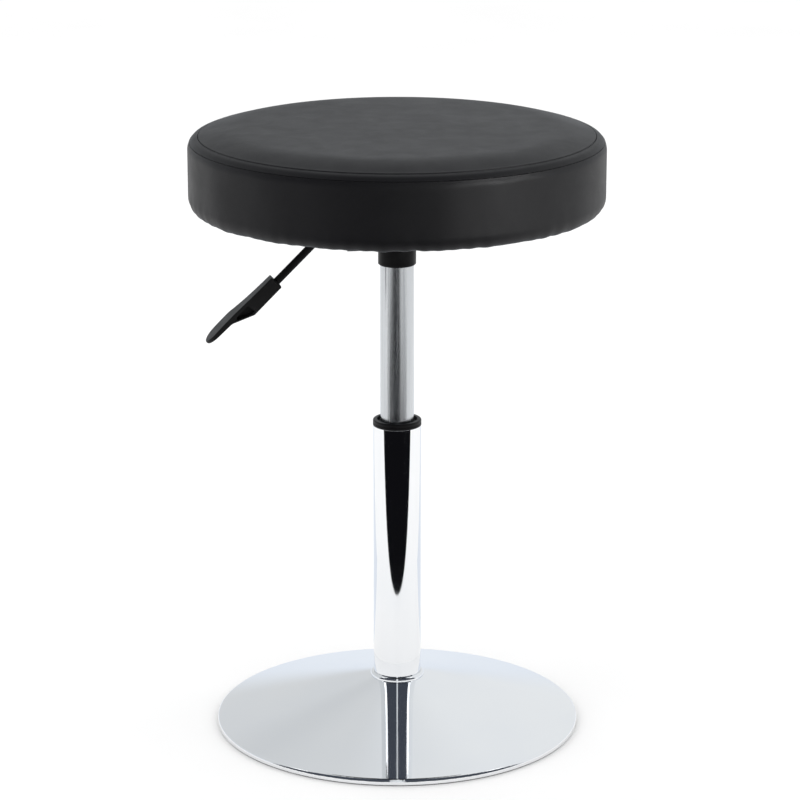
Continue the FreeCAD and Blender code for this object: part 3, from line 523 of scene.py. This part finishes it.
# The simulation.
PRESSURE = 4.0
FRAMES = 20
MOST_SWELL = 5 * MM
HELD_CORE = 0.3
HELD_TOP = 0.12
HELD_SIDE = 0.06
HELD_SEAM = 0.9
HELD_FOOT = 0.7
LOOSE_CORE = 0.05
LOOSE_TOP = 0.1
LOOSE_SIDE = (0.15, 0.8)

# Seams: how deep and how wide (in rows) each is sunk, and the swell beside it.
UPPER_SEAM = (1.1 * MM, 0.14)
LOWER_SEAM = (0.9 * MM, 0.13)
NEAR_SEAM = np.array([-0.55, -0.32, -0.18, -0.08, 0, 0.08, 0.18, 0.32, 0.55])
SWELL_WIDTH = 0.55
SWELL_HEIGHT = 0.3 * MM
SWELL_UNEVEN = 0.08 * MM
HOLE_DEPTH = 0.25 * MM
# Share of the hole's depth at each point of a stitch: the hole comes first.
STITCH_SHAPE = (1.0, 0.2, -0.3, 0.2)
STITCH_POINTS = len(STITCH_SHAPE)
STITCH_GAP = 0.35
STITCH_KNOTS = 6
STITCH_RISE = 0.75
STITCH_SINK = 0.15
THREAD_RADIUS = 0.33 * MM
THREAD_SIDES = 6
THREAD_TIP = 0.18

# Unevenness: waves in each ripple, the pull of the top, gathers at the hem and dents in the side.
WAVES = 14
PULL = 0.8 * MM
PULL_ROWS = 4
GATHER_START = 12
GATHER_ROWS = 12
GATHER_HEIGHT = 0.45 * MM
DENT_ROWS = 6
DENT_HEIGHT = 0.35 * MM

# The lining has every fourth point of the outside, and lies a wall's thickness behind it.
LINING_STEP = 4
WALL = 1.0 * MM

FOAM_ROUND = 128
FOAM_INSET = 4.5 * MM
FOAM_CENTRE = 6 * MM
FOAM_GAP = 0.5 * MM
FOAM_LIP = 2 * MM
FOAM_DENT = 0.15 * MM

CLOTH_STAPLES = 24
CLOTH_STAPLE_CIRCLE = 178 * MM
CLOTH_COUNT = CLOTH_STAPLES * 10
CLOTH_THICKNESS = 0.6 * MM
CLOTH_PRESSURE = 0.6
CLOTH_SAG = 1.6 * MM
CLOTH_HELD = 0.02
CLOTH_LOOSE = 0.2
CLOTH_PUCKER = 0.35 * MM
# Radii: rings of the middle and of the rim, where the slope begins and where the puckers do.
CLOTH_MIDDLE = (10 * MM, 172 * MM, 28)
CLOTH_RIM = (175 * MM, 183 * MM, 4)
CLOTH_SLOPE = (148 * MM, 14 * MM)
CLOTH_PUCKERS = (150 * MM, 25 * MM)
TRAY_MARGIN = 2 * MM
RIM_REACH = 4 * MM
STAPLE_SPAN = 0.75


def arc(centre, radius, start, stop, steps):
    """Points along an arc, angles in degrees from the outward direction."""
    turns = np.radians(np.linspace(start, stop, steps))
    return [(centre[0] + radius * math.cos(t), centre[1] + radius * math.sin(t)) for t in turns]


def eased(value):
    """0 to 1 with a soft start and stop, held at both ends."""
    value = np.clip(value, 0, 1)
    return value * value * (3 - 2 * value)


def top_edge():
    """Radius and height of the upper seam, where the top meets the shoulder."""
    turn = math.radians(TOP_ANGLE)
    edge = SEAT_RADIUS - SLACK - SHOULDER * (1 - math.cos(turn))
    return edge, SEAT_TOP - CROWN - SHOULDER * (1 - math.sin(turn))


def crown_height(radius, edge, brow):
    """Height of the top: flat in the middle, then rounding down to its seam."""
    fall = math.tan(math.radians(90 - TOP_ANGLE)) * (edge - FLAT_RADIUS) / 2
    return brow + fall * (1 - max(0, (radius - FLAT_RADIUS) / (edge - FLAT_RADIUS)) ** 2)


def cover_section():
    """Half of the cover's section as (radius, height), from the core's edge over the side to the hem."""
    side = SEAT_RADIUS - SLACK
    edge, brow = top_edge()
    points = [(r, crown_height(r, edge, brow)) for r in np.arange(CORE_RADIUS, edge - MM, TOP_STEP)]
    shoulder = SEAT_TOP - CROWN - SHOULDER
    points += arc((side - SHOULDER, shoulder), SHOULDER, TOP_ANGLE, 0, SHOULDER_STEPS + 1)
    low = SEAT_FOOT + CORNER
    points += [(side, z) for z in np.linspace(shoulder, low, SIDE_STEPS)[1:-1]]
    points += arc((side - CORNER, low), CORNER, 0, -90, CORNER_STEPS)
    points += [(r, SEAT_FOOT) for r in np.linspace(side - CORNER, HEM_RADIUS, HEM_STEPS)[1:]]
    return np.array(points)


def swept(section, count):
    """The section turned about the axis: an array of [ring, step round, xyz]."""
    turns = np.arange(count) * 2 * math.pi / count
    round_ = np.stack([np.cos(turns), np.sin(turns)], axis=1)
    flat = section[:, None, :1] * round_[None]
    high = np.repeat(section[:, 1:], count, axis=1)[..., None]
    return np.concatenate([flat, high], axis=2)


def core_points(edge, brow):
    """The middle of the top: ring k has 8k points, so that the mesh is even all over."""
    points = [(0.0, 0.0, crown_height(0, edge, brow))]
    for k in range(1, CORE_RINGS):
        radius = CORE_RADIUS * k / CORE_RINGS
        for step in range(8 * k):
            turn = 2 * math.pi * step / (8 * k)
            height = crown_height(radius, edge, brow)
            points.append((radius * math.cos(turn), radius * math.sin(turn), height))
    return np.array(points)


def core_faces(outer_start):
    """Faces of the middle. outer_start is the number of the first point of the ring round it."""
    starts = [0] + [1 + 4 * k * (k - 1) for k in range(1, CORE_RINGS)] + [outer_start]
    faces = []
    for k in range(1, CORE_RINGS + 1):
        inner_count, outer_count = max(8 * (k - 1), 1), 8 * k
        for side in range(8):
            for step in range(k):
                a = starts[k] + side * k + step
                b = starts[k] + (side * k + step + 1) % outer_count
                c = starts[k - 1] + (side * (k - 1) + step) % inner_count
                if step < k - 1:
                    d = starts[k - 1] + (side * (k - 1) + step + 1) % inner_count
                    faces.append((a, b, d, c))
                else:
                    faces.append((a, b, c))
    return faces


def ring_faces(start, rings, count):
    """Quads between rings of one count, numbered from start."""
    faces = []
    for ring in range(rings - 1):
        row = start + ring * count
        for step in range(count):
            after = (step + 1) % count
            faces.append((row + step, row + count + step, row + count + after, row + after))
    return faces


def caps(rings, count):
    """One face over each end of a tube of rings, numbered from 0."""
    last = (rings - 1) * count
    return [tuple(range(count)), tuple(last + k for k in reversed(range(count)))]


def new_piece(name, points, faces, material):
    """A smooth-shaded piece in one material, placed in the frame."""
    mesh = bpy.data.meshes.new(name)
    mesh.from_pydata([tuple(p) for p in points], [], faces)
    mesh.materials.append(material)
    mesh.update()
    piece = bpy.data.objects.new(name, mesh)
    bpy.context.scene.collection.objects.link(piece)
    for face in mesh.polygons:
        face.use_smooth = True
    return piece


def outward(piece):
    """Turn all faces of a closed piece outward."""
    mesh = bmesh.new()
    mesh.from_mesh(piece.data)
    bmesh.ops.recalc_face_normals(mesh, faces=mesh.faces)
    mesh.to_mesh(piece.data)
    mesh.free()


def swell(piece, held, loose, pressure=PRESSURE, most=MOST_SWELL):
    """Blow the piece up as cloth. held and loose are weights by point: how firmly it is held, and how much
    longer the cloth is than its shape. Gives its points afterwards, none of them moved further than most."""
    start = np.array([v.co for v in piece.data.vertices])
    for name, weights in (("held", held), ("loose", loose)):
        group = piece.vertex_groups.new(name=name)
        for number, weight in enumerate(weights):
            group.add([number], float(weight), "REPLACE")
    cloth = piece.modifiers.new("cloth", "CLOTH")
    cloth.settings.quality = 5
    cloth.settings.mass = 0.25
    cloth.settings.tension_stiffness = 40
    cloth.settings.compression_stiffness = 40
    cloth.settings.shear_stiffness = 12
    cloth.settings.bending_stiffness = 1.5
    cloth.settings.air_damping = 4
    cloth.settings.use_pressure = True
    cloth.settings.uniform_pressure_force = pressure
    cloth.settings.vertex_group_mass = "held"
    cloth.settings.pin_stiffness = 20
    cloth.settings.vertex_group_shrink = "loose"
    cloth.settings.shrink_min = 0.0
    cloth.settings.shrink_max = -0.05
    cloth.settings.effector_weights.gravity = 0
    cloth.collision_settings.use_collision = False
    cloth.point_cache.frame_start = 1
    cloth.point_cache.frame_end = FRAMES
    scene = bpy.context.scene
    for number in range(1, FRAMES + 1):
        scene.frame_set(number)
    graph = bpy.context.evaluated_depsgraph_get()
    shown = piece.evaluated_get(graph).to_mesh()
    points = np.array([v.co for v in shown.vertices])
    piece.evaluated_get(graph).to_mesh_clear()
    piece.modifiers.clear()
    scene.frame_set(1)
    moved = points - start
    far = np.linalg.norm(moved, axis=1, keepdims=True)
    return start + moved * np.minimum(1, most / np.maximum(far, 1e-9))


def between(rows, places):
    """Rows of points at places along them, on a smooth curve through each column."""
    last = len(rows) - 1
    base = np.clip(np.floor(places).astype(int), 0, last - 1)
    t = (places - base)[:, None, None]
    before, start = rows[np.maximum(base - 1, 0)], rows[base]
    stop, after = rows[base + 1], rows[np.minimum(base + 2, last)]
    return 0.5 * (
        2 * start + (stop - before) * t + (2 * before - 5 * start + 4 * stop - after) * t ** 2
        + (3 * start - before - 3 * stop + after) * t ** 3
    )


def doubled(rows):
    """Twice as many points round each ring."""
    middle = (9 * (rows + np.roll(rows, -1, 1)) - np.roll(rows, 1, 1) - np.roll(rows, -2, 1)) / 16
    return np.stack([rows, middle], axis=2).reshape(len(rows), -1, 3)


def facing(rows):
    """Outward directions at each point of the rings."""
    along = np.gradient(rows, axis=0)
    round_ = np.roll(rows, -1, 1) - np.roll(rows, 1, 1)
    out = np.cross(along, round_)
    return out / np.linalg.norm(out, axis=2, keepdims=True)


def ripple(turns, seed, low, high):
    """A smooth uneven wave round the seat, made of waves with low to high periods."""
    draw = np.random.default_rng(seed)
    wave = np.zeros_like(turns)
    for _ in range(WAVES):
        wave += np.sin(turns * draw.integers(low, high) + draw.uniform(0, 2 * math.pi)) * draw.uniform(0.5, 1)
    return wave / math.sqrt(WAVES)


def make_cover(finishes):
    """The cover blown up as cloth: its middle, its rings, and the rows that both seams are on."""
    section = cover_section()
    edge, brow = top_edge()
    core = core_points(edge, brow)
    rings = swept(section, ROUND)
    points = np.concatenate([core, rings.reshape(-1, 3)])
    faces = core_faces(len(core)) + ring_faces(len(core), len(rings), ROUND)
    rough = new_piece("seat_upholstery_start", points, faces, finishes["seat_leather"])

    upper = int(np.argmax(section[:, 0] > edge - 0.01 * MM))
    lower = upper + BAND_STEPS
    held = np.full((len(section), ROUND), HELD_SIDE)
    held[:upper - 2] = HELD_TOP
    held[[upper, lower]] = HELD_SEAM
    held[section[:, 1] < SEAT_FOOT + 1.5 * MM] = HELD_FOOT
    held[-1] = 1
    loose = np.full((len(section), ROUND), LOOSE_TOP)
    loose[lower + 1:] = np.linspace(*LOOSE_SIDE, len(section) - lower - 1)[:, None]
    soft = swell(
        rough,
        np.concatenate([np.full(len(core), HELD_CORE), held.ravel()]),
        np.concatenate([np.full(len(core), LOOSE_CORE), loose.ravel()]),
    )
    bpy.data.objects.remove(rough)

    core = soft[:len(core)]
    rows = soft[len(core):].reshape(rings.shape)
    return core, rows, upper, lower


def seam_places(count, upper, lower):
    """Places of the final rings along the section: close together at both seams."""
    places = np.concatenate([
        np.arange(0, upper - SEAM_REACH, ROW_STEP),
        upper + NEAR_SEAM,
        np.arange(upper + 1, lower - SEAM_REACH, ROW_STEP),
        lower + NEAR_SEAM,
        np.arange(lower + 1, count - 1, ROW_STEP),
        [count - 1],
    ])
    return np.unique(np.round(places, 3))


def finish_cover(core, rows, upper, lower, finishes):
    """Final cover: finer rings, sunk seams with needle holes, gathers at the hem, and the lining behind."""
    places = seam_places(len(rows), upper, lower)
    fine = doubled(between(rows, places))
    out = facing(fine)
    count = fine.shape[1]
    turns = np.arange(count) * 2 * math.pi / count
    hole = np.tile(STITCH_SHAPE, STITCHES)
    lift = np.zeros(fine.shape[:2])
    for seam, (depth, width) in ((upper, UPPER_SEAM), (lower, LOWER_SEAM)):
        sunk = np.exp(-(((places - seam) / width) ** 2))
        lift -= sunk[:, None] * (depth + HOLE_DEPTH * hole[None])
        beside = np.exp(-(((places - seam) / SWELL_WIDTH) ** 2)) - sunk
        lift += beside[:, None] * (SWELL_HEIGHT + SWELL_UNEVEN * ripple(turns, 7 + seam, 30, 120)[None])
    drawn = eased(np.where(places < upper, places / upper, 1 - (places - upper) / PULL_ROWS))
    lift -= drawn[:, None] * PULL
    gather = np.clip((places - (lower + GATHER_START)) / GATHER_ROWS, 0, 1) ** 1.5
    lift += gather[:, None] * GATHER_HEIGHT * ripple(turns, 3, 24, 90)[None]
    dented = np.clip((places - lower - 1) / DENT_ROWS, 0, 1)
    lift += dented[:, None] * DENT_HEIGHT * ripple(turns, 5, 5, 26)[None]
    fine = fine + out * lift[..., None]
    fine[..., 2] = np.maximum(fine[..., 2], SEAT_FOOT - FOOT_ROOM)
    reach = np.linalg.norm(fine[..., :2], axis=2)
    above = fine[..., 2] - SEAT_FOOT
    fine[..., 2] -= eased((reach - SAG_RADIUS) / SAG_WIDTH) * (1 - eased(above / SAG_HEIGHT)) * SAG
    lining = (fine - out * WALL)[::-1][::LINING_STEP, ::LINING_STEP]

    # The top's middle, then faces that join its single points to the doubled ones outside it.
    first = len(core)
    faces = core_faces(first)
    points = [core, rows[:1].reshape(-1, 3)]
    start = first + ROUND
    for number in range(ROUND):
        after = (number + 1) % ROUND
        faces.append((
            first + number, start + 2 * number, start + 2 * number + 1, start + (2 * number + 2) % count,
            first + after,
        ))
    fine = fine[1:]
    points.append(fine.reshape(-1, 3))
    faces += ring_faces(start, len(fine), count)

    # The lining, joined on at the hem and closed by one face under the top.
    hem = start + (len(fine) - 1) * count
    back = hem + count
    around = lining.shape[1]
    for number in range(around):
        after = (number + 1) % around
        edge = [hem + (LINING_STEP * number + k) % count for k in range(LINING_STEP + 1)]
        faces.append((back + number, *edge, back + after))
    points.append(lining.reshape(-1, 3))
    faces += ring_faces(back, len(lining), around)
    last = back + (len(lining) - 1) * around
    faces.append(tuple(last + k for k in range(around)))
    piece = new_piece("seat_upholstery", np.concatenate(points), faces, finishes["seat_leather"])
    outward(piece)
    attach(piece, "seat_lift")
    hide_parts("seat_cover")
    light_seat(piece)
    return fine, places[1:], out[1:]


def thread_along(path):
    """A closed thread along points, thinning to its ends: points and faces numbered from 0."""
    path = np.array(path)
    along = np.gradient(path, axis=0)
    along /= np.linalg.norm(along, axis=1, keepdims=True)
    up = np.cross(along, np.array([0.0, 0.0, 1.0]))
    up /= np.linalg.norm(up, axis=1, keepdims=True)
    side = np.cross(along, up)
    turns = np.arange(THREAD_SIDES) * 2 * math.pi / THREAD_SIDES
    radii = np.sin(np.linspace(THREAD_TIP, math.pi - THREAD_TIP, len(path))) ** 0.5 * THREAD_RADIUS
    points = [
        path[k] + radii[k] * (up[k] * math.cos(t) + side[k] * math.sin(t))
        for k in range(len(path)) for t in turns
    ]
    faces = ring_faces(0, len(path), THREAD_SIDES) + caps(len(path), THREAD_SIDES)
    return points, faces


def make_stitching(fine, places, out, seams, finishes):
    """One thread stitch between each pair of needle holes, on both seams."""
    points, faces = [], []
    for seam in seams:
        ring = int(np.argmin(np.abs(places - seam)))
        line, up = fine[ring], out[ring]
        count = len(line)
        for number in range(STITCHES):
            hole = number * STITCH_POINTS
            spots = np.linspace(hole + STITCH_GAP, hole + STITCH_POINTS - STITCH_GAP, STITCH_KNOTS)
            path = []
            for k, spot in enumerate(spots):
                low, t = int(spot) % count, spot - int(spot)
                here = line[low] * (1 - t) + line[(low + 1) % count] * t
                rise = math.sin(math.pi * k / (STITCH_KNOTS - 1)) * STITCH_RISE - STITCH_SINK
                path.append(here + up[low] * rise * MM)
            stitch_points, stitch_faces = thread_along(path)
            first = len(points)
            points += stitch_points
            faces += [tuple(first + k for k in face) for face in stitch_faces]
    piece = new_piece("seat_stitching", points, faces, finishes["seat_thread"])
    outward(piece)
    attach(piece, "seat_lift")


def make_foam(finishes):
    """The moulded foam: crowned, waisted a little at its side, with its skin uneven."""
    board_low, board_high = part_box("seat_board")
    side, top = SEAT_RADIUS - FOAM_INSET, SEAT_TOP - FOAM_INSET
    shoulder, corner = SHOULDER - FOAM_INSET, CORNER - FOAM_INSET
    edge, brow = side - shoulder, top - CROWN
    wrap = board_high.x + FOAM_GAP
    low = SEAT_FOOT + FOAM_INSET + corner
    section = [(r, brow + CROWN * (1 - (r / edge) ** 2)) for r in np.linspace(FOAM_CENTRE, edge, 22)[:-1]]
    section += arc((edge, brow - shoulder), shoulder, 90, 0, 7)
    section += [(side, z) for z in np.linspace(brow - shoulder, low, 8)[1:-1]]
    section += [p for p in arc((side - corner, low), corner, 0, -60, 8) if p[0] > wrap]
    section += [(wrap, section[-1][1]), (wrap, board_high.z + FOAM_LIP), (wrap, board_high.z)]
    section += [(r, board_high.z) for r in np.linspace(wrap, FOAM_CENTRE, 18)[1:]]
    rings = swept(np.array(section), FOAM_ROUND)
    turns = np.arange(FOAM_ROUND) * 2 * math.pi / FOAM_ROUND
    over_board = rings[..., 2] > board_high.z + MM
    rings[..., 2] -= FOAM_DENT * (1 + ripple(turns, 11, 3, 20)[None]) * over_board
    faces = ring_faces(0, len(rings), FOAM_ROUND) + caps(len(rings), FOAM_ROUND)
    piece = new_piece("seat_foam_block", rings.reshape(-1, 3), faces, finishes["foam"])
    outward(piece)
    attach(piece, "seat_lift")
    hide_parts("seat_foam")


def make_dust_cloth(finishes):
    """The cloth stapled under the board, sagging a little between the seat's tray and the staples."""
    (_, _, foot), (radius, _, top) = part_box("dust_cover")
    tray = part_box("seat_plate")[1].x + TRAY_MARGIN
    rise = top - CLOTH_THICKNESS - foot
    radii = np.concatenate([np.linspace(*CLOTH_MIDDLE), np.linspace(*CLOTH_RIM)])
    drop = np.clip((radii - CLOTH_SLOPE[0]) / CLOTH_SLOPE[1], 0, 1)
    rings = swept(np.stack([radii, top - CLOTH_THICKNESS - rise * drop], axis=1), CLOTH_COUNT)
    faces = ring_faces(0, len(rings), CLOTH_COUNT) + [tuple(reversed(range(CLOTH_COUNT)))]
    rough = new_piece("dust_cloth_start", rings.reshape(-1, 3), faces, finishes["dust_cloth"])
    under_tray = np.max(np.abs(rings[..., :2]), axis=2) < tray
    turns = np.arange(CLOTH_COUNT) * 2 * math.pi / CLOTH_COUNT
    from_staple = np.abs(np.sin(turns * CLOTH_STAPLES / 2))
    reach = rings[..., 0] * np.cos(turns) + rings[..., 1] * np.sin(turns)
    rim = np.abs(reach - CLOTH_STAPLE_CIRCLE) < RIM_REACH
    held = np.where(under_tray | (rim & (from_staple < STAPLE_SPAN)[None]), 1.0, CLOTH_HELD)
    loose = np.full(held.size, CLOTH_LOOSE)
    soft = swell(rough, held.ravel(), loose, CLOTH_PRESSURE, CLOTH_SAG).reshape(rings.shape)
    bpy.data.objects.remove(rough)
    sag = np.clip(rings[..., 2] - soft[..., 2], 0, CLOTH_SAG)
    puckered = np.clip((radii - CLOTH_PUCKERS[0]) / CLOTH_PUCKERS[1], 0, 1)
    lower = soft.copy()
    lower[..., 2] = rings[..., 2] - sag - puckered[:, None] * from_staple[None] * CLOTH_PUCKER
    upper = lower + np.array([0, 0, CLOTH_THICKNESS])
    points = np.concatenate([lower.reshape(-1, 3), upper[::-1].reshape(-1, 3)])
    faces = ring_faces(0, len(rings) * 2, CLOTH_COUNT) + caps(len(rings) * 2, CLOTH_COUNT)
    piece = new_piece("dust_cloth_sheet", points, faces, finishes["dust_cloth"])
    outward(piece)
    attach(piece, "seat_lift")
    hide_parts("dust_cover")


def make_upholstery(finishes):
    core, rows, upper, lower = make_cover(finishes)
    fine, places, out = finish_cover(core, rows, upper, lower, finishes)
    make_stitching(fine, places, out, (upper, lower), finishes)
    make_foam(finishes)
    make_dust_cloth(finishes)


# ---------------------------------------------------------------- the scene

make_camera()
make_studio()
finishes = make_finishes()
dress_nodes(finishes)
make_upholstery(finishes)
